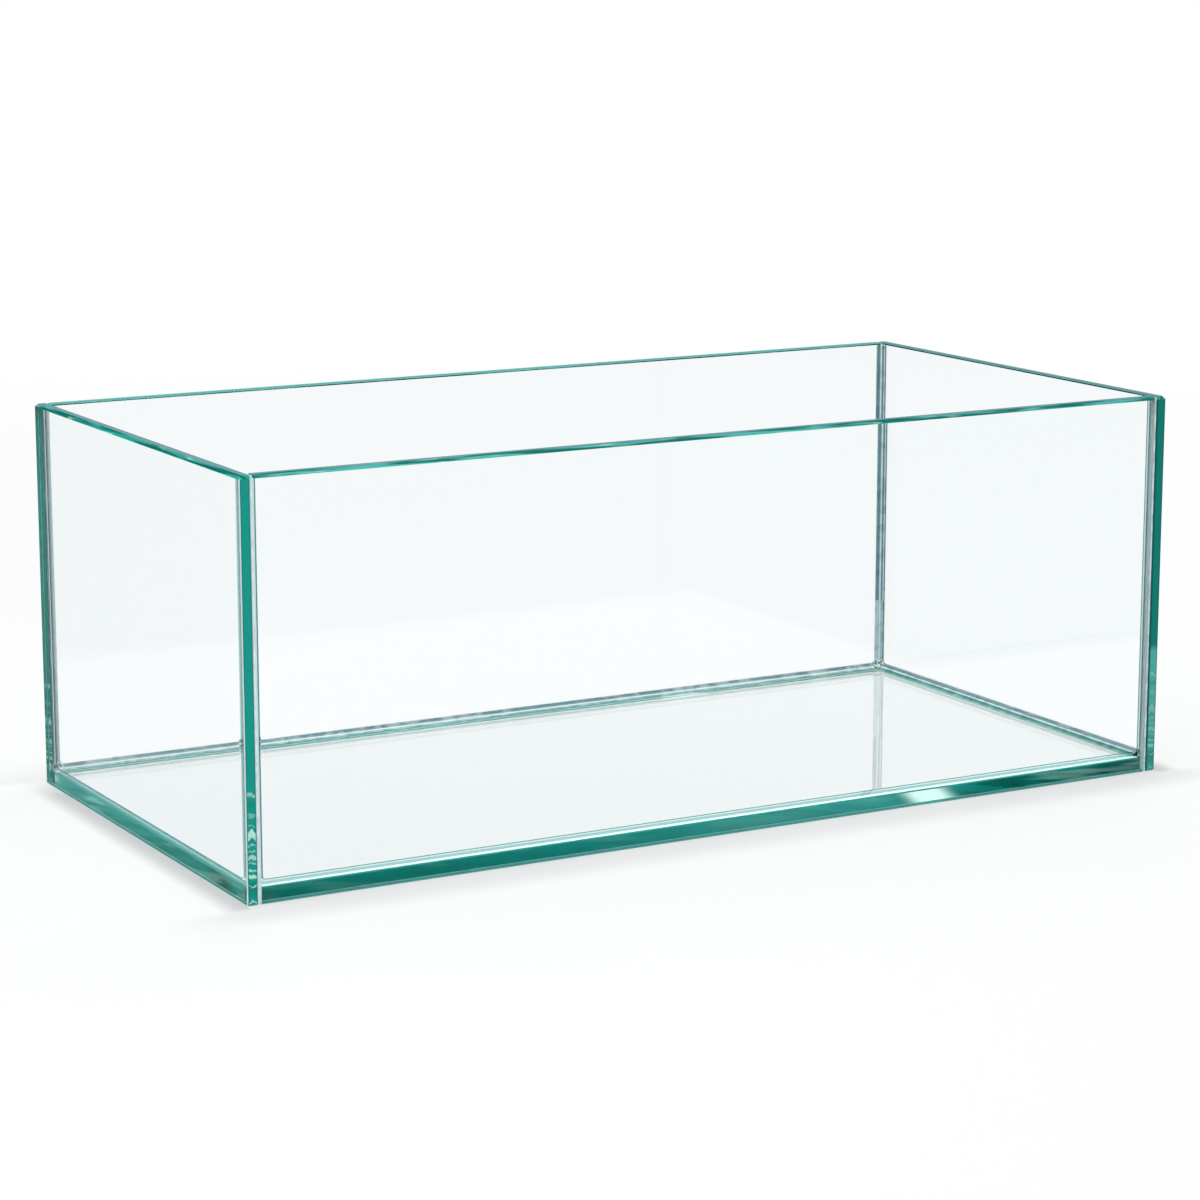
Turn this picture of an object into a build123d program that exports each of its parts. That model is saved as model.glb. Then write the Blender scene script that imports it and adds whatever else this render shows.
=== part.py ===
from build123d import *
import math
import os

# Rimless open-top aquarium: five panes of clear float glass, bonded edge to face with clear
# silicone and sealed inside with a tooled bead in every corner.
# Millimetres. +X along the length, the front faces -Y, +Z up.
# The origin is the middle of the underside, on the surface that the tank stands on.

# Outside size
tank_length = 900.0
tank_depth = 450.0
tank_height = 345.0

# Glass
wall_glass = 10.0         # thickness of the front, back, left and right panes
base_glass = 12.0         # thickness of the base pane
glass_arris = 1.0         # small flat ground on every edge of a pane
rim_bevel = 3.0           # wider polished flat that runs round the outside of the rim

# Structural silicone between an edge of one pane and the face of the next
joint_gap = 1.5           # thickness of the layer
joint_setback = 1.0       # how far the trimmed layer stays behind the outer face of the glass

# Tooled sealing bead along the inner corners
bead_leg = 7.0            # reach of the bead along each pane
bead_edge_angle = 20.0    # angle between the bead's hollow face and the glass, at the bead's edge
bead_top_setback = 2.5    # the upright beads stop this far under the rim

LEFT, RIGHT, FRONT, BACK = -1, 1, -1, 1
sides = {"left": LEFT, "right": RIGHT}
ends = {"front": FRONT, "back": BACK}

# The box inside the four walls
inner_length = tank_length - 2 * wall_glass
inner_depth = tank_depth - 2 * wall_glass

# A pane that fits between two others leaves one joint at each end
fitted_length = inner_length - 2 * joint_gap
fitted_depth = inner_depth - 2 * joint_gap

# The bead's face is an arc that meets both panes at the edge angle, one leg from the corner.
edge_angle = math.radians(bead_edge_angle)
bead_radius = bead_leg / (math.cos(edge_angle) - math.sin(edge_angle))
bead_centre = bead_radius * math.cos(edge_angle)   # distance of the arc's centre from each pane


def block(x_size, y_size, z_low, z_high, x_mid=0.0, y_mid=0.0):
    """A plain box between two heights."""
    return Pos(x_mid, y_mid, (z_low + z_high) / 2) * Box(x_size, y_size, z_high - z_low)


def glass_pane(*size_and_place):
    """A cut pane with a ground arris on all its edges."""
    cut = block(*size_and_place)
    return chamfer(cut.edges(), glass_arris)


def bevelled_outline():
    """The whole tank as one block, with the polished bevel round the outside of its rim."""
    whole = block(tank_length, tank_depth, 0, tank_height)
    return chamfer(whole.faces().sort_by(Axis.Z)[-1].edges(), rim_bevel)


def only_solid(shape):
    """The one solid that an operation has left."""
    found = shape.solids()
    if len(found) != 1:
        raise ValueError(f"expected one solid, got {len(found)}")
    return found[0]


def inner_corner(side, end):
    """The corner where a side pane, an end pane and the base meet, inside the tank."""
    return Vector(side * inner_length / 2, end * inner_depth / 2, base_glass)


def inward(side, end):
    """Unit steps from that corner into the tank, one for each axis."""
    return {"x": Vector(-side, 0, 0), "y": Vector(0, -end, 0), "z": Vector(0, 0, 1)}


def mitred(run, side, end, along, across):
    """Cut a run at 45 degrees in a corner: keep what lies further along than across."""
    step = inward(side, end)
    cut = Plane(origin=inner_corner(side, end), z_dir=step[along] - step[across])
    return split(run, bisect_by=cut, keep=Keep.TOP)


def half(run, axis, sign):
    """Keep the half of a ring that lies on one side of the tank's middle."""
    direction = {"x": Vector(sign, 0, 0), "y": Vector(0, sign, 0)}[axis]
    return split(run, bisect_by=Plane(origin=(0, 0, 0), z_dir=direction), keep=Keep.TOP)


# Panes. The side panes run the full depth and cover the ends of the front and back panes.
side_pane_x = (tank_length - wall_glass) / 2
end_pane_y = (tank_depth - wall_glass) / 2

outline = bevelled_outline()

side_panes = {
    side: outline & glass_pane(wall_glass, tank_depth, 0, tank_height, side * side_pane_x, 0)
    for side in (LEFT, RIGHT)
}
end_panes = {
    end: outline & glass_pane(fitted_length, wall_glass, 0, tank_height, 0, end * end_pane_y)
    for end in (FRONT, BACK)
}
base_pane = glass_pane(fitted_length, fitted_depth, 0, base_glass)


# Upright bonds, between the face of a side pane and the edge of the front or back pane.
# The silicone also fills the arris on the inner edge of the pane that it holds.
def corner_bond(side, end):
    reach = joint_gap + glass_arris
    width = wall_glass - joint_setback
    layer = block(
        reach, width, joint_setback, tank_height - joint_setback,
        side * (inner_length - reach) / 2, end * (inner_depth + width) / 2,
    )
    return only_solid((layer & outline) - end_panes[end])


# Base bonds, a ring of silicone round the edge of the base, in four mitred lengths
base_bond_ring = block(inner_length, inner_depth, joint_setback, base_glass) - base_pane


def base_bond_end(end):
    run = half(base_bond_ring, "y", end)
    for side in (LEFT, RIGHT):
        run = mitred(run, side, end, "x", "y")
    return only_solid(run)


def base_bond_side(side):
    run = half(base_bond_ring, "x", side)
    for end in (FRONT, BACK):
        run = mitred(run, side, end, "y", "x")
    return only_solid(run)


# Sealing beads. All of them are what is left in the corners of the tank when a block with
# rounded edges, the tooling finger's sweep, is taken out of the space inside the panes. Where
# three beads meet, the rounded corner of that block gives the ball-shaped hollow.
def bead_ring():
    bead_top = tank_height - bead_top_setback
    overlap = bead_radius - bead_centre     # the arc's block reaches this far into the panes
    space = block(inner_length, inner_depth, base_glass, bead_top)
    swept = block(
        inner_length + 2 * overlap, inner_depth + 2 * overlap,
        base_glass - overlap, tank_height + bead_radius,
    )
    uprights = swept.edges().filter_by(Axis.Z)
    floor_edges = swept.faces().sort_by(Axis.Z)[0].edges()
    return space - fillet(uprights + floor_edges, bead_radius)


beads = bead_ring()


def upright_bead(side, end):
    run = half(half(beads, "x", side), "y", end)
    run = mitred(run, side, end, "z", "x")
    return only_solid(mitred(run, side, end, "z", "y"))


def floor_bead_end(end):
    run = half(beads, "y", end)
    for side in (LEFT, RIGHT):
        run = mitred(mitred(run, side, end, "x", "y"), side, end, "x", "z")
    return only_solid(run)


def floor_bead_side(side):
    run = half(beads, "x", side)
    for end in (FRONT, BACK):
        run = mitred(mitred(run, side, end, "y", "x"), side, end, "y", "z")
    return only_solid(run)


# Every piece under the name of its node
pieces = {"base_pane": base_pane}
for side_name, side in sides.items():
    pieces[f"{side_name}_pane"] = side_panes[side]
    pieces[f"{side_name}_base_bond"] = base_bond_side(side)
    pieces[f"{side_name}_floor_bead"] = floor_bead_side(side)
for end_name, end in ends.items():
    pieces[f"{end_name}_pane"] = end_panes[end]
    pieces[f"{end_name}_base_bond"] = base_bond_end(end)
    pieces[f"{end_name}_floor_bead"] = floor_bead_end(end)
for side_name, side in sides.items():
    for end_name, end in ends.items():
        pieces[f"{end_name}_{side_name}_bond"] = corner_bond(side, end)
        pieces[f"{end_name}_{side_name}_bead"] = upright_bead(side, end)

os.makedirs("parts", exist_ok=True)
for node, piece in pieces.items():
    export_step(piece, f"parts/{node}.step")
    size = piece.bounding_box().size
    print(f"{node}: {size.X:.1f} x {size.Y:.1f} x {size.Z:.1f} mm, {piece.volume / 1000:.2f} cm3")
print(f"bead face: radius {bead_radius:.2f} mm, throat {bead_centre * math.sqrt(2) - bead_radius:.2f} mm")
print(f"{len(pieces)} pieces")
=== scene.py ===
import math
import bmesh
import bpy
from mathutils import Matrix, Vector


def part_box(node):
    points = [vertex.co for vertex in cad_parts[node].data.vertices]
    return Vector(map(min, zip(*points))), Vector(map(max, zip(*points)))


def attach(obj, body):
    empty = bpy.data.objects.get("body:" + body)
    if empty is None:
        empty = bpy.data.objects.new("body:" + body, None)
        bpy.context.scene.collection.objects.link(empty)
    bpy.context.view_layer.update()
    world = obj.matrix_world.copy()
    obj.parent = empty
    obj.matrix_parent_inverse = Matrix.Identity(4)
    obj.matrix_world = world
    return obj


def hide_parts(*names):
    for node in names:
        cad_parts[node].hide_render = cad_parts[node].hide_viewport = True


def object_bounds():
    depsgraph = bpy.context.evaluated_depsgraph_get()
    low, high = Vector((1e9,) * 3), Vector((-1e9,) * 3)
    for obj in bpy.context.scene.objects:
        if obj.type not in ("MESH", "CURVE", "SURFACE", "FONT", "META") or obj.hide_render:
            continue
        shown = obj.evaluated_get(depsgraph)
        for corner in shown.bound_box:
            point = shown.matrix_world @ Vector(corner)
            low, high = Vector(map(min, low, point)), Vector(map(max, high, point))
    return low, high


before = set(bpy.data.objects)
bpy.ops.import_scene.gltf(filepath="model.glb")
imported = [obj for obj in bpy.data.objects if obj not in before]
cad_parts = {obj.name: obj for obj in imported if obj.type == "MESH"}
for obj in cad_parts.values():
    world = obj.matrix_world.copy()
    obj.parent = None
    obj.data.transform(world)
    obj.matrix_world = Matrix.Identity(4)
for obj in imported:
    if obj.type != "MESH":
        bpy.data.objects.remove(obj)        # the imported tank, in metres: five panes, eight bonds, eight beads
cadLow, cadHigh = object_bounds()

scene = bpy.context.scene
tankCentre = (cadLow + cadHigh) / 2
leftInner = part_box("left_pane")[1].x      # inner face of the left pane
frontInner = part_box("front_pane")[1].y
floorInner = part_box("base_pane")[1].z     # top of the base pane
print("frame loaded:", len(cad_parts), "nodes")


# Node maths written as Python expressions, for shaders and for geometry

class Wire:
    def __init__(self, tree, socket):
        self.tree = tree
        self.socket = socket

    def math(self, operation, *others, swap=False):
        values = (others[0], self) if swap else (self, *others)
        return self.tree.add("ShaderNodeMath", {"operation": operation}, *values)

    def __add__(self, other):
        return self.math("ADD", other)

    def __sub__(self, other):
        return self.math("SUBTRACT", other)

    def __rsub__(self, other):
        return self.math("SUBTRACT", other, swap=True)

    def __mul__(self, other):
        return self.math("MULTIPLY", other)

    def __truediv__(self, other):
        return self.math("DIVIDE", other)

    def __rtruediv__(self, other):
        return self.math("DIVIDE", other, swap=True)

    def __lt__(self, other):
        return self.math("LESS_THAN", other)

    def __gt__(self, other):
        return self.math("GREATER_THAN", other)

    __radd__ = __add__
    __rmul__ = __mul__

    def size(self):
        return self.math("ABSOLUTE")

    def least(self, other):
        return self.math("MINIMUM", other)

    def most(self, other):
        return self.math("MAXIMUM", other)

    def ease(self, low, high):
        # 0 at low, 1 at high, smooth between them
        settings = {"interpolation_type": "SMOOTHSTEP"}
        return self.tree.add("ShaderNodeMapRange", settings, self, low, high, 0.0, 1.0)


class Tree:
    # a node's settings are set before its sockets, which are counted or named
    def __init__(self, tree):
        self.nodes = tree.nodes
        self.links = tree.links
        self.nodes.clear()

    def plug(self, socket, value):
        if isinstance(value, Wire):
            self.links.new(value.socket, socket)
        else:
            socket.default_value = value

    def node(self, kind, settings=None, *values, **named):
        made = self.nodes.new(kind)
        for name, setting in (settings or {}).items():
            if name == "stops":
                self.setStops(made.color_ramp, setting)
            else:
                setattr(made, name, setting)
        for index, value in enumerate(values):
            if value is not None:
                self.plug(made.inputs[index], value)
        for name, value in named.items():
            self.plug(made.inputs[name.replace("_", " ")], value)
        return made

    def add(self, kind, settings=None, *values, out=0, **named):
        made = self.node(kind, settings, *values, **named)
        return Wire(self, made.outputs[out])

    def setStops(self, ramp, stops):
        while len(ramp.elements) < len(stops):
            ramp.elements.new(1.0)
        for element, (place, colour) in zip(ramp.elements, stops):
            element.position = place
            element.color = (*colour, 1)

    def split(self, vector):
        made = self.node("ShaderNodeSeparateXYZ", None, vector)
        return [Wire(self, output) for output in made.outputs]

    def join(self, *values):
        return self.add("ShaderNodeCombineXYZ", None, *values)

    def mixColour(self, mask, first, second, blend="MIX"):
        # the colour sockets of a Mix node are numbers 6 and 7, its colour output number 2
        made = self.node("ShaderNodeMix", {"data_type": "RGBA", "blend_type": blend})
        for index, value in ((0, mask), (6, first), (7, second)):
            self.plug(made.inputs[index], (*value, 1) if isinstance(value, tuple) else value)
        return Wire(self, made.outputs[2])


def shaderTree(owner):
    owner.use_nodes = True
    return Tree(owner.node_tree)


def seenBy(tree, kind):
    # 1 for rays of this kind
    return tree.add("ShaderNodeLightPath", out=kind)


def ramp(tree, stops, factor):
    return tree.add("ShaderNodeValToRGB", {"stops": stops}, factor)


def noiseAt(tree, look, *at):
    # a mask from noise, with so many steps a metre along each value. Levels are the two values
    # of the noise that make it 0 and 1.
    steps = [value * step for value, step in zip(at, look["steps"])]
    if "seed" in look:
        steps.append(look["seed"])
    detail = look.get("detail", 1.5)
    noise = tree.add("ShaderNodeTexNoise", None, Vector=tree.join(*steps), Scale=1.0, Detail=detail)
    return noise.ease(*look["levels"])


# Camera, at the angle from which the tank is usually shown

cameraSetup = {
    "lens": 104.7,         # millimetres, as is the sensor
    "sensor": 36,
    "yaw": 29.24,          # degrees, from straight at the front pane towards the left pane
    "pitch": 11.43,        # degrees down
    "distance": 3.1332,
    "aimRight": -0.0040,   # where it aims, from the middle of the tank
    "aimUp": -0.0090,
    "clipStart": 0.05,
}


def makeCamera(setup):
    yaw = math.radians(setup["yaw"])
    pitch = math.radians(setup["pitch"])
    forward = Vector((
        math.sin(yaw) * math.cos(pitch),
        math.cos(yaw) * math.cos(pitch),
        -math.sin(pitch),
    ))
    right = Vector((math.cos(yaw), -math.sin(yaw), 0))
    up = right.cross(forward)
    data = bpy.data.cameras.new("camera")
    data.lens = setup["lens"]
    data.sensor_width = setup["sensor"]
    data.clip_start = setup["clipStart"]
    camera = bpy.data.objects.new("camera", data)
    aim = tankCentre + right * setup["aimRight"] + up * setup["aimUp"]
    camera.location = aim - forward * setup["distance"]
    camera.rotation_euler = forward.to_track_quat("-Z", "Y").to_euler()
    scene.collection.objects.link(camera)
    scene.camera = camera


makeCamera(cameraSetup)
print("camera placed")


# Studio: white surroundings, a pale floor and two soft lamps. What shines through the glass
# comes from a white sheet on the floor with a grey band above it, which draws the edges, and
# what the glass mirrors is a dim grey, as with dark screens round a white table.

studio = {
    "floorSize": 14.0,
    "floorDrop": 0.0002,             # the floor lies a hair under the glass
    "floorColour": (0.86, 0.865, 0.87),
    "floorWhite": 0.62,              # share of the floor that shines by itself
    "shadowReach": (1.0, 3.0),       # past this the floor is plain white like the backdrop
    "sheetBack": 0.71,               # edges of the white sheet, which is narrower at the back
    "sheetRight": 0.51,
    "sheetStep": 0.25,
    "sheetSoft": 0.045,
    "sheetWhite": (1.0, 1.0, 1.0),
    "beyondSheet": (0.945, 0.952, 0.957),
    "contactShade": (0.78, 0.782, 0.785),    # painted shadow: tone of the floor close behind and in front
    "contactReach": 0.11,
    "frontFade": (0.018, 0.065),     # in front the painted shadow stays even, then fades
    "frontEnds": 0.05,               # and goes on this far past the corners
    "sideShade": (0.50, 0.497, 0.495),       # and the painted shadow close beside the side panes
    "sideFade": (0.005, 0.028),
    "sideEnds": 0.02,
    "sideFaint": (0.17, 0.225),      # towards the back the painted shadow beside the tank is fainter
    "sideFaintShare": 0.8,
    "mirrored": (0.62, 0.64, 0.65),
    "throughWhite": 0.95,            # share of the sheet in the floor, as seen through the glass
    "throughAll": (0.05, -0.2),      # towards the front that share grows to all of it
    "worldLight": 0.62,
    "worldThrough": [
        # height of the ray from -1, straight down, to 1, straight up, put on 0 to 1
        (0.00, (0.945, 0.952, 0.957)),
        (0.60, (0.945, 0.952, 0.957)),
        (0.68, (0.50, 0.57, 0.60)),
        (0.84, (0.34, 0.42, 0.45)),
        (0.93, (1.0, 1.0, 1.0)),
    ],
    "lamps": [
        # place, aim, width, height, watts
        ((-1.4, -0.8, 2.8), (0, 0, 0.15), 2.4, 1.8, 48),
        ((2.0, 1.3, 2.5), (0, 0, 0.15), 2.4, 1.8, 34),
    ],
    "bounces": 64,                   # light crosses many faces of glass and silicone
}


def makeWorld(setup):
    world = bpy.data.worlds.new("studio")
    scene.world = world
    tree = shaderTree(world)
    height = tree.split(tree.add("ShaderNodeTexCoord", out="Generated"))[2]
    bands = ramp(tree, setup["worldThrough"], height * 0.5 + 0.5)
    light = tree.add("ShaderNodeBackground", None, (1, 1, 1, 1), setup["worldLight"])
    through = tree.add("ShaderNodeBackground", None, bands, 1.0)
    mirrored = tree.add("ShaderNodeBackground", None, (*setup["mirrored"], 1), 1.0)
    plain = tree.add("ShaderNodeBackground", None, (1, 1, 1, 1), 1.0)
    # a ray that has just passed through clear glass counts as glossy too, so it goes last
    inner = tree.add("ShaderNodeMixShader", None, seenBy(tree, "Is Glossy Ray"), light, mirrored)
    inner = tree.add("ShaderNodeMixShader", None, seenBy(tree, "Is Transmission Ray"), inner, through)
    outer = tree.add("ShaderNodeMixShader", None, seenBy(tree, "Is Camera Ray"), inner, plain)
    tree.node("ShaderNodeOutputWorld", None, outer)


def makeFloor(setup):
    half = setup["floorSize"] / 2
    mesh = bpy.data.meshes.new("floor")
    corners = [(-half, -half), (half, -half), (half, half), (-half, half)]
    mesh.from_pydata([(x, y, -setup["floorDrop"]) for x, y in corners], [], [(0, 1, 2, 3)])
    floor = bpy.data.objects.new("floor", mesh)
    scene.collection.objects.link(floor)
    material = bpy.data.materials.new("studio_floor")
    tree = shaderTree(material)
    place = tree.add("ShaderNodeTexCoord", out="Object")
    far = tree.add("ShaderNodeVectorMath", {"operation": "LENGTH"}, place, out="Value")
    x, y, z = tree.split(place)
    soft = setup["sheetSoft"]
    pastBack = y.ease(setup["sheetBack"] - soft, setup["sheetBack"] + soft)
    pastRight = x.ease(setup["sheetRight"] - soft / 2, setup["sheetRight"] + soft / 2)
    pastStep = y.ease(setup["sheetStep"] - soft, setup["sheetStep"] + soft)
    beyond = pastBack.most(pastRight * pastStep)
    sheet = tree.mixColour(beyond, setup["sheetWhite"], setup["beyondSheet"])
    # painted shadow round the tank's footprint, carried by the floor's own shine: darker close round it, even
    # and then fading in front, and darker still close beside the side panes
    fromSide = (x.size() - cadHigh.x).most(0.0)
    fromFront = (y.size() - cadHigh.y).most(0.0)
    fromTank = (fromSide * fromSide + fromFront * fromFront).math("SQRT")
    contact = 1 - (fromTank / setup["contactReach"]).least(1.0)
    infront = (1 - fromSide.ease(0.0, setup["frontEnds"])) * (y < 0)
    even = 1 - fromTank.ease(*setup["frontFade"])
    beside = (fromSide > 0) * (1 - fromFront.ease(0.0, setup["sideEnds"]))
    contact = (contact * contact * (1 - infront) + even * infront) * (1 - beside)
    faint = y.ease(*setup["sideFaint"]) * setup["sideFaintShare"]
    beside = beside * (1 - fromSide.ease(*setup["sideFade"])) * (1 - faint)
    floorWithPaintedSideShadow = tree.mixColour(beside, (1.0, 1.0, 1.0), setup["sideShade"])
    paintedShadowTone = tree.mixColour(contact, floorWithPaintedSideShadow, setup["contactShade"])
    matt = tree.add("ShaderNodeBsdfDiffuse", None, (*setup["floorColour"], 1))
    lit = tree.add("ShaderNodeEmission", None, paintedShadowTone, 1.0)
    glow = tree.add("ShaderNodeEmission", None, sheet, 1.0)
    mirrored = tree.add("ShaderNodeEmission", None, (*setup["mirrored"], 1), 1.0)
    share = far.ease(*setup["shadowReach"]) * (1 - setup["floorWhite"]) + setup["floorWhite"]
    inner = tree.add("ShaderNodeMixShader", None, seenBy(tree, "Is Glossy Ray"), matt, mirrored)
    nearest = y.ease(*setup["throughAll"]) * (1 - setup["throughWhite"])
    through = tree.add("ShaderNodeMixShader", None, nearest + setup["throughWhite"], matt, glow)
    inner = tree.add("ShaderNodeMixShader", None, seenBy(tree, "Is Transmission Ray"), inner, through)
    direct = tree.add("ShaderNodeMixShader", None, share, matt, lit)
    mixed = tree.add("ShaderNodeMixShader", None, seenBy(tree, "Is Camera Ray"), inner, direct)
    tree.node("ShaderNodeOutputMaterial", None, mixed)
    mesh.materials.append(material)


def makeLamps(setup):
    for index, (place, aim, width, height, watts) in enumerate(setup["lamps"]):
        data = bpy.data.lights.new(f"softbox_{index + 1}", "AREA")
        data.shape = "RECTANGLE"
        data.size = width
        data.size_y = height
        data.energy = watts
        lamp = bpy.data.objects.new(data.name, data)
        lamp.location = place
        toAim = Vector(aim) - Vector(place)
        lamp.rotation_euler = toAim.to_track_quat("-Z", "Y").to_euler()
        scene.collection.objects.link(lamp)


makeWorld(studio)
makeFloor(studio)
makeLamps(studio)
scene.view_settings.view_transform = "Standard"
for name in ("max_bounces", "transmission_bounces", "glossy_bounces"):
    setattr(scene.cycles, name, studio["bounces"])
print("studio lit")


# Float glass. A pane's faces are nearly clear. Its cut edges gather the colour of the whole
# sheet, so each kind of edge has a colour of its own, over a share of what shines through.
# Some of these colours are painted light and shade: pale arrises and white under the bead as
# painted highlights, lighter and darker copies of the teal by pane and by place, and streaks,
# flecks, a sheen and glints as painted reflections.
# The bead's sizes come first, because where silicone wets a pane its face takes no part.

bead = {
    "leg": 0.007,            # reach along each pane
    "edgeAngle": 20.0,       # degrees between the hollow face and the glass
    "topSetback": 0.0025,
    "segments": 88,          # round the rounded block, a multiple of four
    "rings": 45,             # an odd number
    "sharpAbove": 0.5,       # radians
}
glass = {
    "ior": 1.52,
    "mirror": 0.2,                        # how strongly a face mirrors, against bare glass
    "unmirrored": 0.6,                    # share of a wall's face that doesn't mirror at all
    "absorbed": (1.1, 0.3, 0.2),          # share lost per metre, red, green and blue
    "densest": 1.1,                       # the density, against the greatest of these
    "faceTint": (0.995, 1.0, 1.0),
    "arris": 0.001,                       # as in the solids, with the rim's bevel
    "bevel": 0.003,
    "nearly": 0.00004,                    # two places this close are one
    "rimEdge": 0.0007,                    # the rim's grey runs this far down into its bevel
    "lowUnder": 0.115,                    # painted light: under this height the right pane's edge is lighter
    "lowSoft": 0.004,
    "lowFrom": -0.06,                     # and fades downwards, towards this height
    "lowLeast": 0.3,
    "cutTint": (0.12, 0.60, 0.53),        # what shines through a cut edge
    "edges": {
        # colour, and the share of what shines through that it covers
        "cut": ((0.014, 0.330, 0.275), 1.0),
        "base": ((0.010, 0.420, 0.360), 1.0),
        "foot": ((0.060, 0.380, 0.330), 0.985),
        "bevel": ((0.012, 0.360, 0.270), 1.0),
        "rim": ((0.150, 0.300, 0.320), 1.0),
        # painted highlight: the pale arris lines along the edges
        "arris": ((0.640, 0.770, 0.780), 0.90),
        # painted highlight: the white base top under the near runs
        "underBead": ((0.980, 1.0, 1.0), 1.0),
        "topArris": ((0.060, 0.300, 0.270), 0.95),
        # painted light: the side panes' back ends and their arrises take a lighter teal, here and in backCut
        "backArris": ((0.012, 0.520, 0.440), 1.0),
        "footArris": ((0.140, 0.480, 0.440), 0.95),
        "backCut": ((0.012, 0.520, 0.440), 1.0),
        # painted light: the lighter teal low in the right pane's edge
        "low": ((0.090, 0.440, 0.380), 1.0),
    },
    "own": {
        # edges that differ on one pane, as painted light and shade: the right pane's are darker
        # copies, the back pane's lighter ones, and the front pane's ends are painted pale as they
        # show behind the silicone
        "front_pane": {"bevel": (0.075, 0.460, 0.410), "cut": (0.780, 0.900, 0.910)},
        "right_pane": {
            "cut": (0.010, 0.215, 0.180),
            "bevel": (0.060, 0.330, 0.300),
            "arris": (0.012, 0.110, 0.100),
        },
        "back_pane": {
            "bevel": (0.220, 0.850, 0.770),
            "topArris": (0.120, 0.480, 0.430),
            "rim": (0.130, 0.440, 0.400),
        },
        "base_pane": {"arris": (0.030, 0.400, 0.340)},
    },
    "underLeft": [
        # painted light and shade on the base's top under the left bead, a pale line between darker bands, from
        # the pane inwards
        (0.00, (0.13, 0.32, 0.31)),
        (0.16, (0.52, 0.76, 0.77)),
        (0.30, (0.13, 0.30, 0.29)),
        (0.55, (0.17, 0.37, 0.36)),
        (0.75, (0.28, 0.49, 0.48)),
        (1.00, (0.24, 0.43, 0.43)),
    ],
    "baseSide": [
        # painted light and shade in the base's edge behind the side panes, from front to back
        (0.00, (0.008, 0.390, 0.310)),
        (0.05, (0.006, 0.350, 0.280)),
        (0.10, (0.000, 0.130, 0.108)),
        (0.20, (0.012, 0.330, 0.270)),
        (0.50, (0.042, 0.450, 0.385)),
        (1.00, (0.110, 0.560, 0.490)),
    ],
    "baseFront": [
        # painted light and shade in the base's edge behind the front pane, from left to right
        (0.00, (0.004, 0.250, 0.205)),
        (0.35, (0.016, 0.360, 0.315)),
        (0.66, (0.090, 0.560, 0.510)),
        (0.80, (0.006, 0.360, 0.290)),
        (1.00, (0.004, 0.270, 0.215)),
    ],
    "deep": (0.001, 0.135, 0.105),        # painted shade: streaks where the edge is darkest
    "glint": (0.50, 0.86, 0.77),          # and painted highlights: flecks where it catches the light
    "glow": (0.50, 0.54, 0.53),           # painted highlight: light that the base's edge gives off there, though it is no lamp
    "shadow": (0.92, 0.95, 0.95),         # how much lamp light a face lets through
    "edgeShadow": (0.12, 0.22, 0.21),     # and a cut edge
    "roughness": 0.02,
    "paintRoughness": 0.35,
}
# Painted reflections in the edges, mostly from noise: dark streaks and shades as painted
# shade, bright flecks, a sheen and bars of light as painted highlights
baseLightAndShade = {
    "slant": (26, 130),                   # along the edge and up it
    "streaks": {"steps": (1, 40), "seed": 3.7, "levels": (0.46, 0.58)},
    "streakShares": {"sides": 0.30, "left": 0.15, "right": 0.80},
    "streakGrows": 0.08,                  # the front's grow within this, right of the sheen
    "flecks": {"steps": (0.6, 90), "seed": 9.1, "levels": (0.50, 0.64)},
    "fleckShares": {"all": 0.08, "sides": 0.15, "ends": 0.18},
    "rightEnd": (0.27, 0.31),             # where the flecks grow, on the front and right of it
    "backEnd": (0.08, 0.18),              # and on the sides, towards the back
    "backMore": 2,
    "sheen": 0.212,                       # middle of one painted highlight, a bright patch on the front
    "sheenFade": (0.0102, 0.034),         # and how it fades away from there
    "sheenLean": 1.2,
}
wallLightAndShade = {
    "border": 0.0031,                     # past this from its middle a cut edge takes painted shade
    "borderSoft": 0.0004,
    "borderShare": 0.7,
    "shades": {"steps": (60, 5), "seed": 2.2, "levels": (0.50, 0.66)},
    "shadeUnder": (0.08, 0.10),
    "shadeShare": 0.5,
    "runs": {"steps": (17, 210), "seed": 1.3, "levels": (0.42, 0.60)},
    "runShare": 0.9,
    "wisps": {"steps": (30, 330), "seed": 6.6, "levels": (0.60, 0.70)},
    "wispShare": 0.4,
    "patches": {"steps": (330, 420, 11), "levels": (0.25, 0.45)},
    "wobble": {"steps": (420, 190, 7), "levels": (0.2, 0.8)},
    "wobbleHeight": 0.0022,
    "lean": 0.16,                         # slope of the glints across the edge
    "unmarked": ["front_pane"],           # its ends have neither shades nor glints
    "glintShare": {"right_pane": 0.4},
    "glints": [
        # bars of light low in the upright edges: height, half thickness, how far they drop
        # towards the sides, strength
        (0.0900, 0.0022, 0.0, 0.55),
        (0.0737, 0.0020, 0.0, 0.30),
        (0.0655, 0.0006, 0.2, 0.40),
        (0.0590, 0.0044, 0.9, 0.95),
        (0.0500, 0.0009, 0.6, 0.65),
        (0.0444, 0.0007, -0.2, 0.45),
        (0.0392, 0.0027, 0.1, 0.75),
        (0.0353, 0.0006, 0.3, 0.70),
        (0.0284, 0.0012, -0.1, 0.75),
        (0.0237, 0.0017, 0.1, 0.95),
        (0.0152, 0.0007, -0.5, 0.80),
        (0.0045, 0.0008, 0.7, 0.75),
    ],
}
panes = {
    # thin axis, and which way its outer face looks; the base lies between the walls
    "left_pane": (0, -1),
    "right_pane": (0, 1),
    "front_pane": (1, -1),
    "back_pane": (1, 1),
    "base_pane": (2, 0),
}
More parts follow.
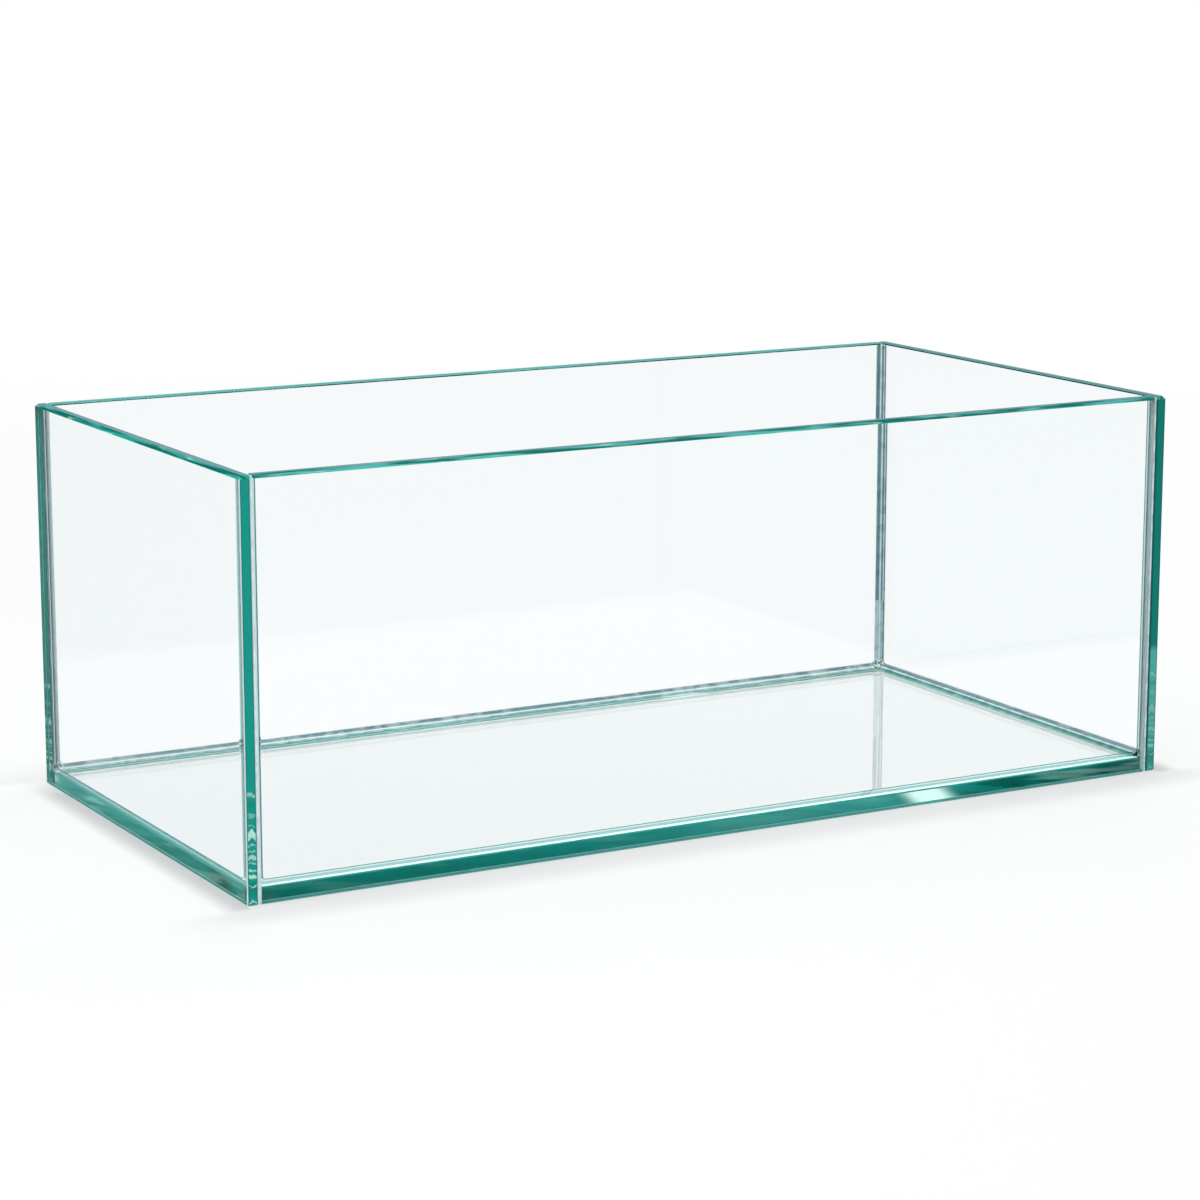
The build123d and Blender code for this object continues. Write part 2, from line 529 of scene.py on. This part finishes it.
# the kinds of edge on each pane, a later one lying over those before it
wallKinds = ["topArris", "footArris", "foot", "bevel", "rim"]
kindsOfEdge = {
    "left_pane": ["cut", "backCut", "arris", "backArris", *wallKinds],
    "right_pane": ["cut", "backCut", "low", "arris", "backArris", *wallKinds],
    "front_pane": ["cut", "arris", *wallKinds],
    "back_pane": ["cut", "arris", *wallKinds],
    "base_pane": ["base", "arris", "underBead"],
}


def absorption(tree, perMetre):
    # a density and the colour that it leaves, for these shares lost
    density = max(perMetre) * glass["densest"]
    colour = [1 - value / density for value in perMetre] + [1]
    return tree.add("ShaderNodeVolumeAbsorption", None, colour, density)


def edgeZones(tree, node):
    # masks of the kinds of edge on a pane, from the distances to its sides
    thin, outward = panes[node]
    low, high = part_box(node)
    place = tree.split(tree.add("ShaderNodeTexCoord", out="Object"))
    nearly = glass["nearly"]
    toEnd = {}
    for axis in range(3):
        if axis != thin:
            middle = (low[axis] + high[axis]) / 2
            toEnd[axis] = (high[axis] - low[axis]) / 2 - (place[axis] - middle).size()
    first, second = toEnd.values()
    nearest = first.least(second)
    edge = nearest < glass["arris"] - nearly
    flat = nearest < nearly
    zones = {"edge": edge, "cut": flat, "base": flat, "arris": edge * (1 - flat), "place": place}
    if outward:
        outer = high[thin] if outward > 0 else low[thin]
        toOuter = (place[thin] - outer).size()
        if thin == 0:
            toOuter = toOuter.least(toEnd[1])    # the bevel also crosses the side panes' ends
        toTop = high.z - place[2]
        zones["rim"] = toTop < glass["rimEdge"]
        zones["topArris"] = zones["arris"] * (toTop < glass["arris"])
        zones["footArris"] = zones["arris"] * (place[2] - low.z < glass["arris"])
        zones["backArris"] = zones["arris"] * (place[1] > 0)
        zones["backCut"] = flat * (place[1] > 0)
        limit = glass["lowUnder"]
        under = 1 - place[2].ease(limit - glass["lowSoft"], limit + glass["lowSoft"])
        fading = place[2].ease(glass["lowFrom"], limit) * (1 - glass["lowLeast"])
        zones["low"] = flat * under * (fading + glass["lowLeast"])
        zones["foot"] = (place[2] - low.z) < nearly
        zones["bevel"] = (toOuter + toTop - glass["bevel"]).size() < nearly
    else:
        near = (place[0] < leftInner + bead["leg"]).most(place[1] < frontInner + bead["leg"])
        zones["underBead"] = near * (place[2] > high.z - nearly)
    zones["sealed"] = sealedZone(node, place, low, high)
    return zones


def sealedZone(node, place, low, high):
    # where a pane's face is wetted by silicone, light runs on without a mirror or a bend
    thin, outward = panes[node]
    nearly = glass["nearly"]
    leg = bead["leg"]
    beside = {0: place[0].size() > -leftInner - leg, 1: place[1].size() > -frontInner - leg}
    if not outward:
        near = (beside[0] * (place[0] < 0)).most(beside[1] * (place[1] < 0))
        return (place[2] > high.z - nearly) * beside[0].most(beside[1]) * (1 - near)
    inner = low[thin] if outward > 0 else high[thin]
    onFace = (place[thin] - inner).size() < nearly
    low = place[2] < floorInner + leg
    up = beside[1 - thin] * (place[2] < high.z - bead["topSetback"])
    if node in ("left_pane", "front_pane"):
        # a near run only tints what shows behind it, so the glass there bends light as elsewhere
        up = up * (place[1 - thin] > 0) * (place[2] > floorInner + leg)
        low = place[2] < floorInner
    return onFace * low.most(up)


def paintedLightInBase(tree, node, zones):
    # masks of the painted shade, dark slanting streaks in the base's edge, and of its painted
    # highlights, flecks and sheen
    look = baseLightAndShade
    x, y, z = zones["place"]
    onSides = x.size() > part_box(node)[1].x - glass["nearly"]
    slant = (x + y) * look["slant"][0] + z * look["slant"][1]
    shares = look["streakShares"]
    pastSheen = x.ease(look["sheen"], look["sheen"] + look["streakGrows"])
    onFront = pastSheen * (shares["right"] - shares["left"]) + shares["left"]
    streaks = noiseAt(tree, look["streaks"], slant, z)
    streaks = streaks * (onSides * shares["sides"] + (1 - onSides) * onFront)
    shares = look["fleckShares"]
    atBack = onSides * y.ease(*look["backEnd"]) * look["backMore"]
    ends = x.ease(*look["rightEnd"]).most(atBack)
    flecks = noiseAt(tree, look["flecks"], slant, z)
    flecks = flecks * (onSides * shares["sides"] + ends * shares["ends"] + shares["all"])
    sheen = 1 - (x - look["sheen"] + z * look["sheenLean"]).size().ease(*look["sheenFade"])
    return streaks * zones["base"], flecks.most(sheen) * zones["base"]


def paintedLightInWall(tree, node, zones):
    # masks of the painted shades and glints in a wall's cut edges, with the long painted
    # streaks, dark and light, in its bevel
    look = wallLightAndShade
    thin, outward = panes[node]
    low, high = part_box(node)
    along = zones["place"][1 - thin]
    z = zones["place"][2]
    across = zones["place"][thin] - (low[thin] + high[thin]) / 2
    slope = across * outward - z
    runs = noiseAt(tree, look["runs"], along, slope) * zones["bevel"] * look["runShare"]
    wisps = noiseAt(tree, look["wisps"], along, slope) * zones["bevel"] * look["wispShare"]
    if node in look["unmarked"]:
        return runs, wisps
    fromMiddle = across.size()
    borders = fromMiddle.ease(look["border"], look["border"] + look["borderSoft"])
    shades = noiseAt(tree, look["shades"], z, along)
    shades = shades * (1 - z.ease(*look["shadeUnder"])) * look["shadeShare"]
    shades = shades.most(borders * look["borderShare"]) * zones["cut"]
    wobble = noiseAt(tree, look["wobble"], across, z, along) - 0.5
    height = z + wobble * look["wobbleHeight"] + across * look["lean"]
    bars = []
    for middle, half, drop, strength in look["glints"]:
        away = (height + fromMiddle * drop - middle).size()
        bars.append((1 - away.ease(half * 0.5, half)) * strength)
    glints = bars[0]
    for bar in bars[1:]:
        glints = glints.most(bar)
    inside = fromMiddle < look["border"] + look["borderSoft"] / 2
    glints = glints * noiseAt(tree, look["patches"], across, z, along) * inside * zones["cut"]
    glints = glints * look["glintShare"].get(node, 1.0)
    return shades.most(runs), glints.most(wisps)


def baseColour(tree, node, zones):
    # the base's edge is painted lighter and darker along each side, as painted light and shade
    low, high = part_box(node)
    x, y, z = zones["place"]
    front = ramp(tree, glass["baseFront"], (x - low.x) / (high.x - low.x))
    side = ramp(tree, glass["baseSide"], (y - low.y) / (high.y - low.y))
    return tree.mixColour(y < low.y + glass["nearly"], side, front)


def underBeadColour(tree, paint, zones):
    inwards = (zones["place"][0] - leftInner) / bead["leg"]
    return tree.mixColour(inwards < 1.0, paint, ramp(tree, glass["underLeft"], inwards))


def glassMaterial(node):
    material = bpy.data.materials.new(f"float_glass_{node}")
    tree = shaderTree(material)
    zones = edgeZones(tree, node)
    isBase = node == "base_pane"
    colour = None
    for kind in kindsOfEdge[node]:
        paint, covered = glass["edges"][kind]
        paint = glass["own"].get(node, {}).get(kind, paint)
        if kind == "base":
            paint = baseColour(tree, node, zones)
        if kind == "underBead":
            paint = underBeadColour(tree, paint, zones)
        mask = zones[kind]
        if colour is None:
            colour = paint
            share = mask * covered
        else:
            colour = tree.mixColour(mask, colour, paint)
            share = share * (1 - mask) + mask * covered
    # painted shade and painted highlights laid over the edge colours
    deep, paintedHighlight = (paintedLightInBase if isBase else paintedLightInWall)(tree, node, zones)
    colour = tree.mixColour(deep, colour, glass["deep"])
    colour = tree.mixColour(paintedHighlight, colour, glass["glint"])
    # painted highlight: the base's edge glows where its sheen and flecks are
    glow = {}
    if isBase:
        glow["Emission_Color"] = tree.mixColour(paintedHighlight * paintedHighlight, (0.0, 0.0, 0.0), glass["glow"])
        glow["Emission_Strength"] = 1.0
    painted = tree.add(
        "ShaderNodeBsdfPrincipled", None, Base_Color=colour, Roughness=glass["paintRoughness"],
        IOR=glass["ior"], Specular_IOR_Level=0.0, **glow,
    )
    mirror = 1.0 if isBase else glass["mirror"]
    clear = tree.add(
        "ShaderNodeBsdfPrincipled", None,
        Base_Color=tree.mixColour(zones["edge"], glass["faceTint"], glass["cutTint"]),
        Roughness=zones["edge"] * glass["roughness"], IOR=glass["ior"],
        Transmission_Weight=1.0, Specular_Tint=(mirror, mirror, mirror, 1),
    )
    if not isBase:
        faceTint = (*glass["faceTint"], 1)
        bent = tree.add("ShaderNodeBsdfRefraction", None, faceTint, 0.0, glass["ior"])
        clear = tree.add("ShaderNodeMixShader", None, glass["unmirrored"], clear, bent)
    surface = tree.add("ShaderNodeMixShader", None, share, clear, painted)
    runsOn = tree.add("ShaderNodeBsdfTransparent")
    surface = tree.add("ShaderNodeMixShader", None, zones["sealed"], surface, runsOn)
    faceShade = tree.add("ShaderNodeBsdfTransparent", None, (*glass["shadow"], 1))
    edgeShade = tree.add("ShaderNodeBsdfTransparent", None, (*glass["edgeShadow"], 1))
    lampsPass = tree.add("ShaderNodeMixShader", None, zones["edge"], faceShade, edgeShade)
    shadowRay = seenBy(tree, "Is Shadow Ray")
    mixed = tree.add("ShaderNodeMixShader", None, shadowRay, surface, lampsPass)
    tree.node("ShaderNodeOutputMaterial", None, mixed, absorption(tree, glass["absorbed"]))
    return material


for node in panes:
    pane = bpy.data.objects[node]
    pane.data.materials.clear()
    pane.data.materials.append(glassMaterial(node))
print("glass done")


# Clear silicone, in full contact with the glass: each run reaches into it by a hair

silicone = {
    "ior": 1.50,                          # close to the glass, which it wets without an air gap
    "mirror": 0.4,                        # how strongly it mirrors, as for the glass
    "stainIor": 1.02,                     # a painted tint hardly bends what shines through it
    "seat": 0.00005,                      # how far a run reaches into the glass
    "weld": 0.000001,                     # corners of a bond this close are one
    "tint": (0.93, 0.975, 0.98),
    "roughness": 0.02,
    "milkRoughness": 0.35,
    "milkMirror": 0.2,
    "hazeScale": 90.0,                    # the milky share is uneven
    "hazeLevels": (0.3, 0.7),
    "hazeShares": (0.75, 1.25),
    "shadow": (0.88, 0.93, 0.94),
    "bondMilk": (0.80, 0.90, 0.91),       # the light that a bond scatters, and its share: silicone's milkiness, with a painted highlight on a bond's bare outer edge
    "bondShare": 0.85,
}


def siliconeMaterial(name, colour, share, touching, stain=None):
    # colour and share are of the light that the silicone scatters, with the bead's painted
    # highlights and shade in that colour, and touching is 1 where the run lies against glass or
    # against another run; each is worked out from the place. A painted tint gives the runs that
    # light only passes through: their colour, which carries painted highlights and shade, and
    # where they are.
    material = bpy.data.materials.new(name)
    tree = shaderTree(material)
    where = tree.add("ShaderNodeTexCoord", out="Object")
    place = tree.split(where)
    noise = tree.add("ShaderNodeTexNoise", None, Vector=where, Scale=silicone["hazeScale"])
    least, most = silicone["hazeShares"]
    haze = noise.ease(*silicone["hazeLevels"]) * (most - least) + least
    mirror = silicone["mirror"]
    clear = tree.add(
        "ShaderNodeBsdfPrincipled", None,
        Base_Color=(*silicone["tint"], 1), Roughness=silicone["roughness"],
        IOR=silicone["ior"], Transmission_Weight=1.0, Specular_Tint=(mirror, mirror, mirror, 1),
    )
    milkAndPaintedLight = tree.add(
        "ShaderNodeBsdfPrincipled", None,
        Base_Color=colour(tree, where, place), Roughness=silicone["milkRoughness"],
        Specular_IOR_Level=silicone["milkMirror"],
    )
    surface = tree.add("ShaderNodeMixShader", None, share(place) * haze, clear, milkAndPaintedLight)
    if stain:
        tone, tintedWhere = stain(tree, place)
        plain = tree.add(
            "ShaderNodeBsdfPrincipled", None,
            Base_Color=tone, Roughness=0.0, IOR=silicone["stainIor"],
            Transmission_Weight=1.0, Specular_IOR_Level=0.0,
        )
        surface = tree.add("ShaderNodeMixShader", None, tintedWhere, surface, plain)
    runsOn = tree.add("ShaderNodeBsdfTransparent")
    surface = tree.add("ShaderNodeMixShader", None, touching(place), surface, runsOn)
    lampsPass = tree.add("ShaderNodeBsdfTransparent", None, (*silicone["shadow"], 1))
    shadowRay = seenBy(tree, "Is Shadow Ray")
    mixed = tree.add("ShaderNodeMixShader", None, shadowRay, surface, lampsPass)
    tree.node("ShaderNodeOutputMaterial", None, mixed)
    return material


def bondColour(tree, where, place):
    # a bond is the same all through
    return (*silicone["bondMilk"], 1)


def bondShare(place):
    return silicone["bondShare"]


def seatedCopy(node):
    # a bond between two panes, grown by a hair into the glass on both sides
    mesh = bpy.data.meshes.new(f"{node}_silicone")
    work = bmesh.new()
    work.from_mesh(bpy.data.objects[node].data)
    bmesh.ops.remove_doubles(work, verts=work.verts, dist=silicone["weld"])
    bmesh.ops.recalc_face_normals(work, faces=work.faces)
    work.normal_update()
    shifts = [(vert, vert.normal * silicone["seat"]) for vert in work.verts]
    for vert, shift in shifts:
        vert.co += shift
    work.to_mesh(mesh)
    work.free()
    low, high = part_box(node)

    def touching(place):
        # a bond shows only its underside, and an upright one its outer edge and its top
        bare = place[2] < low.z + glass["nearly"]
        if not node.endswith("_base_bond"):
            outer = max(abs(low.y), abs(high.y)) - glass["nearly"]
            bare = bare.most(place[1].size() > outer)
            bare = bare.most(place[2] > high.z - glass["bevel"])
        return 1 - bare

    name = f"clear_silicone_{node}"
    mesh.materials.append(siliconeMaterial(name, bondColour, bondShare, touching))
    piece = bpy.data.objects.new(f"{node}_silicone", mesh)
    scene.collection.objects.link(piece)
    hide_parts(node)
    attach(piece, "root")


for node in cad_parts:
    if node.endswith("_bond"):
        seatedCopy(node)
print("bonds done")


# Sealing bead: one run of tooled silicone round the floor and up the four corners. It is the
# inside of the tank less a block with rounded edges, which the tooling finger leaves hollow.

beadLook = {
    # painted light and shade, from the middle of the hollow face to where it runs out on the
    # glass, for the upright runs, for the walls' side of the floor runs and for the floor's side
    # of them: pale and white lines are painted highlights and dark lines painted shade.
    # The walls of the back and right are the far ones, and the upright runs that lie between a
    # near wall and a far one, at the back left and the front right, have one tone of their own.
    "stops": {
        "backUpright": [
            (0.00, (0.74, 0.84, 0.86)),
            (0.12, (0.66, 0.78, 0.81)),
            (0.18, (0.42, 0.57, 0.62)),
            (0.55, (0.46, 0.62, 0.67)),
            (0.70, (0.46, 0.61, 0.65)),
            (1.00, (0.55, 0.68, 0.71)),
        ],
        "rightUpright": [
            (0.00, (0.74, 0.84, 0.86)),
            (0.12, (0.46, 0.61, 0.66)),
            (0.30, (0.34, 0.49, 0.53)),
            (0.60, (0.46, 0.62, 0.67)),
            (0.70, (0.13, 0.25, 0.28)),
            (0.94, (0.12, 0.24, 0.26)),
            (1.00, (0.60, 0.70, 0.73)),
        ],
        "backUprightHigh": [
            (0.00, (0.74, 0.84, 0.86)),
            (0.14, (0.72, 0.82, 0.84)),
            (0.24, (0.24, 0.39, 0.43)),
            (0.40, (0.12, 0.26, 0.29)),
            (0.72, (0.13, 0.27, 0.30)),
            (0.90, (0.26, 0.41, 0.45)),
            (1.00, (0.60, 0.70, 0.73)),
        ],
        "rightUprightHigh": [
            (0.00, (0.74, 0.84, 0.86)),
            (0.12, (0.24, 0.39, 0.43)),
            (0.22, (0.11, 0.25, 0.28)),
            (0.42, (0.12, 0.25, 0.28)),
            (0.56, (0.55, 0.74, 0.79)),
            (0.66, (0.55, 0.74, 0.79)),
            (0.78, (0.10, 0.20, 0.22)),
            (0.94, (0.10, 0.20, 0.22)),
            (1.00, (0.60, 0.70, 0.73)),
        ],
        "betweenUpright": [
            (0.00, (0.13, 0.30, 0.31)),
            (0.34, (0.16, 0.35, 0.36)),
            (0.48, (0.46, 0.62, 0.64)),
            (0.84, (0.54, 0.70, 0.72)),
            (1.00, (0.75, 0.85, 0.86)),
        ],
        "farWall": [
            (0.00, (0.95, 0.98, 0.98)),
            (0.14, (0.88, 0.94, 0.95)),
            (0.24, (0.26, 0.42, 0.46)),
            (0.50, (0.16, 0.30, 0.34)),
            (0.84, (0.18, 0.32, 0.36)),
            (0.92, (0.98, 1.0, 1.0)),
        ],
        "farFloor": [
            (0.00, (0.90, 0.95, 0.96)),
            (0.12, (0.10, 0.36, 0.32)),
            (0.62, (0.07, 0.32, 0.28)),
            (0.80, (0.30, 0.52, 0.51)),
            (0.93, (0.62, 0.74, 0.76)),
        ],
    },
    "stains": {
        # painted light and shade that the near runs lay as a tint over what shines through them
        "leftUpright": [
            (0.00, (0.20, 0.34, 0.35)),
            (0.22, (0.12, 0.25, 0.27)),
            (0.34, (0.24, 0.44, 0.43)),
            (0.56, (0.30, 0.50, 0.49)),
            (0.66, (0.55, 0.72, 0.73)),
            (0.80, (1.0, 1.0, 1.0)),
        ],
        "frontUpright": [
            (0.00, (0.56, 0.70, 0.71)),
            (0.56, (0.56, 0.70, 0.71)),
            (0.70, (0.10, 0.27, 0.29)),
            (0.88, (0.10, 0.27, 0.29)),
            (0.93, (1.0, 1.0, 1.0)),
        ],
        "nearWall": [
            (0.00, (0.46, 0.76, 0.73)),
            (0.16, (0.38, 0.70, 0.66)),
            (0.30, (0.52, 0.80, 0.78)),
            (0.46, (0.42, 0.74, 0.71)),
            (0.56, (0.94, 1.0, 1.0)),
            (0.68, (0.94, 1.0, 1.0)),
            (0.78, (0.19, 0.48, 0.43)),
            (0.94, (0.19, 0.48, 0.43)),
            (1.00, (1.0, 1.0, 1.0)),
        ],
        "nearFloor": [
            (0.00, (0.46, 0.76, 0.73)),
            (0.40, (0.36, 0.68, 0.64)),
            (0.70, (0.90, 0.98, 0.98)),
            (1.00, (0.90, 0.98, 0.98)),
        ],
    },
    "highAbove": 0.083,      # the back corner's run has other tones above this height
    "floorSoft": (-0.0001, 0.0004),    # where the wall's side goes over into the floor's
    "uprightFrom": (0.8, 1.3),         # and a floor run into an upright one, in reaches
    "shares": {"wall": 0.94, "floor": 0.72},
    # painted reflection: teal streaks on the floor's side of the far runs
    "streak": (0.42, 0.74, 0.68),
    "streaks": {"steps": (22, 60), "seed": 5.2, "detail": 3.0, "levels": (0.50, 0.72)},
    "streakShare": 0.6,
    # painted light and shade: bright and dark flecks where three runs meet at the back
    "fleckReach": (0.0065, 0.013),
    "fleckScale": 420.0,
    "fleckDark": (0.01, 0.16, 0.15),
    "darkLevels": (0.40, 0.44),
    "fleckBright": (0.98, 1.0, 1.0),
    "brightLevels": (0.53, 0.57),
}


class GeometryTree(Tree):
    def __init__(self, name, inputs):
        self.group = bpy.data.node_groups.new(name, "GeometryNodeTree")
        super().__init__(self.group)
        for label, kind in inputs.items():
            self.group.interface.new_socket(label, in_out="INPUT", socket_type=f"NodeSocket{kind}")
        self.group.interface.new_socket("Mesh", in_out="OUTPUT", socket_type="NodeSocketGeometry")
        start = self.node("NodeGroupInput")
        self.given = {label: Wire(self, start.outputs[label]) for label in inputs}

    def finish(self, mesh):
        real = self.add("GeometryNodeRealizeInstances", None, mesh)
        coated = self.add("GeometryNodeSetMaterial", None, real, Material=self.given["Material"])
        self.node("NodeGroupOutput", None, coated)

    def build(self, name, values):
        holder = bpy.data.objects.new(name, bpy.data.meshes.new(name))
        scene.collection.objects.link(holder)
        modifier = holder.modifiers.new("build", "NODES")
        modifier.node_group = self.group
        for item in self.group.interface.items_tree:
            if item.in_out == "INPUT":
                modifier[item.identifier] = values[item.name]
        evaluated = holder.evaluated_get(bpy.context.evaluated_depsgraph_get())
        mesh = bpy.data.meshes.new_from_object(evaluated)
        holder.modifiers.remove(modifier)
        holder.data = mesh
        return holder


def beadTree():
    tree = GeometryTree("sealing_bead", {
        "Length": "Float", "Depth": "Float", "Floor": "Float", "Top": "Float",
        "Radius": "Float", "Overlap": "Float", "Seat": "Float",
        "Segments": "Int", "Rings": "Int", "Sharp Above": "Float", "Material": "Material",
    })
    given = tree.given
    seat = given["Seat"]
    space = tree.join(
        given["Length"] + seat * 2,
        given["Depth"] + seat * 2,
        given["Top"] - given["Floor"] + seat,
    )
    spaceMiddle = tree.join(0.0, 0.0, (given["Top"] + given["Floor"] - seat) / 2)
    solid = tree.add("GeometryNodeMeshCube", None, space, 2, 2, 2)
    solid = tree.add("GeometryNodeTransform", None, solid, Translation=spaceMiddle)

    # a ball whose eighths are pulled apart into a block with rounded edges
    ball = tree.add(
        "GeometryNodeMeshUVSphere", None, given["Segments"], given["Rings"], given["Radius"],
    )
    halfTurn = tree.join(0.0, 0.0, math.pi / given["Segments"])
    ball = tree.add("GeometryNodeTransform", None, ball, Rotation=halfTurn)
    x, y, z = tree.split(tree.add("GeometryNodeInputPosition"))
    halfLength = given["Length"] / 2 + given["Overlap"] - given["Radius"]
    halfDepth = given["Depth"] / 2 + given["Overlap"] - given["Radius"]
    top = given["Top"] + given["Radius"] * 2
    foot = given["Floor"] - given["Overlap"]
    halfHeight = (top - foot) / 2 - given["Radius"]
    apart = tree.join(
        x.math("SIGN") * halfLength,
        y.math("SIGN") * halfDepth,
        z.math("SIGN") * halfHeight + (top + foot) / 2,
    )
    swept = tree.add("GeometryNodeSetPosition", None, ball, Offset=apart)

    cut = tree.node("GeometryNodeMeshBoolean", {"operation": "DIFFERENCE", "solver": "EXACT"})
    tree.plug(cut.inputs["Mesh 1"], solid)
    tree.plug(cut.inputs["Mesh 2"], swept)
    left = Wire(tree, cut.outputs["Mesh"])
    smooth = tree.add("GeometryNodeSetShadeSmooth", None, left, Shade_Smooth=True)
    angle = tree.add("GeometryNodeInputMeshEdgeAngle", out="Unsigned Angle")
    sharp = angle > given["Sharp Above"]
    edged = tree.add(
        "GeometryNodeSetShadeSmooth", {"domain": "EDGE"}, smooth,
        Selection=sharp, Shade_Smooth=False,
    )
    tree.finish(edged)
    return tree


def beadPlaces(place):
    # across is 0 along the middle of the hollow face and 1 where it runs out on the glass, and
    # the rest are masks: the side panes' share of it, the floor's, the upright runs, the far walls
    fromSide = -leftInner - place[0].size()
    fromEnd = -frontInner - place[1].size()
    fromFloor = place[2] - floorInner
    fromWall = fromSide.least(fromEnd)
    least = fromWall.least(fromFloor)
    middle = fromWall.most(fromFloor.least(fromSide.most(fromEnd)))
    onSide = fromSide < fromEnd
    return {
        "across": (middle - least) / bead["leg"],
        "onSide": onSide,
        "onFloor": (fromWall - fromFloor).ease(*beadLook["floorSoft"]),
        "upright": (fromFloor / bead["leg"]).ease(*beadLook["uprightFrom"]),
        "fromCorner": fromSide.most(fromEnd).most(fromFloor),
        "far": onSide * (place[0] > 0) + (1 - onSide) * (place[1] > 0),
    }


def lookUp(tree, looks, across):
    return {name: ramp(tree, stops, across) for name, stops in looks.items()}


def beadColour(tree, where, place):
    at = beadPlaces(place)
    looks = lookUp(tree, beadLook["stops"], at["across"])
    streaks = noiseAt(tree, beadLook["streaks"], place[0] + place[1], place[2])
    streaks = streaks * beadLook["streakShare"]
    floors = tree.mixColour(streaks, looks["farFloor"], beadLook["streak"])
    low = tree.mixColour(at["onSide"], looks["backUpright"], looks["rightUpright"])
    high = tree.mixColour(at["onSide"], looks["backUprightHigh"], looks["rightUprightHigh"])
    uprights = tree.mixColour(place[2] > beadLook["highAbove"], low, high)
    uprights = tree.mixColour(place[0] * place[1] < 0, uprights, looks["betweenUpright"])
    walls = tree.mixColour(at["upright"], looks["farWall"], uprights)
    colour = tree.mixColour(at["onFloor"], walls, floors)
    scale = beadLook["fleckScale"]
    noise = tree.add("ShaderNodeTexNoise", None, Vector=where, Scale=scale, Detail=1.0)
    # painted light and shade near the back corners: bright and dark flecks
    near = (1 - at["fromCorner"].ease(*beadLook["fleckReach"])) * (place[1] > 0)
    dark = near * (1 - noise.ease(*beadLook["darkLevels"]))
    paintedHighlight = near * noise.ease(*beadLook["brightLevels"])
    colour = tree.mixColour(dark, colour, beadLook["fleckDark"])
    return tree.mixColour(paintedHighlight, colour, beadLook["fleckBright"])


def beadPaintedTint(tree, place):
    at = beadPlaces(place)
    looks = lookUp(tree, beadLook["stains"], at["across"])
    upright = tree.mixColour(at["onSide"], looks["frontUpright"], looks["leftUpright"])
    colour = tree.mixColour(at["upright"], looks["nearWall"], upright)
    colour = tree.mixColour(at["onFloor"], colour, looks["nearFloor"])
    # light crosses one tinted face here, not two as in a solid, so the colour, with its painted light and
    # shade, counts twice
    return tree.mixColour(1.0, colour, colour, blend="MULTIPLY"), 1 - at["far"]


def beadShare(place):
    # how much of the light the silicone scatters, the rest of it shining through
    at = beadPlaces(place)
    shares = beadLook["shares"]
    return at["onFloor"] * (shares["floor"] - shares["wall"]) + shares["wall"]


def beadTouching(place):
    # the back left and front right runs keep their colour where they lie on the far wall
    fromSide = -leftInner - place[0].size()
    fromEnd = -frontInner - place[1].size()
    onSide = fromSide < glass["nearly"]
    onEnd = fromEnd < glass["nearly"]
    backLeft = (place[0] < 0) * (place[1] > 0) * onEnd * (fromSide < bead["leg"])
    frontRight = (place[0] > 0) * (place[1] < 0) * onSide * (fromEnd < bead["leg"])
    onWall = onSide.most(onEnd) * (1 - backLeft.most(frontRight))
    return onWall.most(place[2] < floorInner + glass["nearly"])


def makeBead():
    angle = math.radians(bead["edgeAngle"])
    radius = bead["leg"] / (math.cos(angle) - math.sin(angle))
    material = siliconeMaterial(
        "clear_silicone_bead", beadColour, beadShare, beadTouching, beadPaintedTint,
    )
    piece = beadTree().build("sealing_bead", {
        "Length": -2 * leftInner,
        "Depth": -2 * frontInner,
        "Floor": floorInner,
        "Top": cadHigh.z - bead["topSetback"],
        "Radius": radius,
        "Overlap": radius * (1 - math.cos(angle)),
        "Seat": silicone["seat"],
        "Segments": bead["segments"],
        "Rings": bead["rings"],
        "Sharp Above": bead["sharpAbove"],
        "Material": material,
    })
    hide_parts(*[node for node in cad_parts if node.endswith("_bead")])
    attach(piece, "root")
    print("sealing bead:", len(piece.data.polygons), "faces")


makeBead()
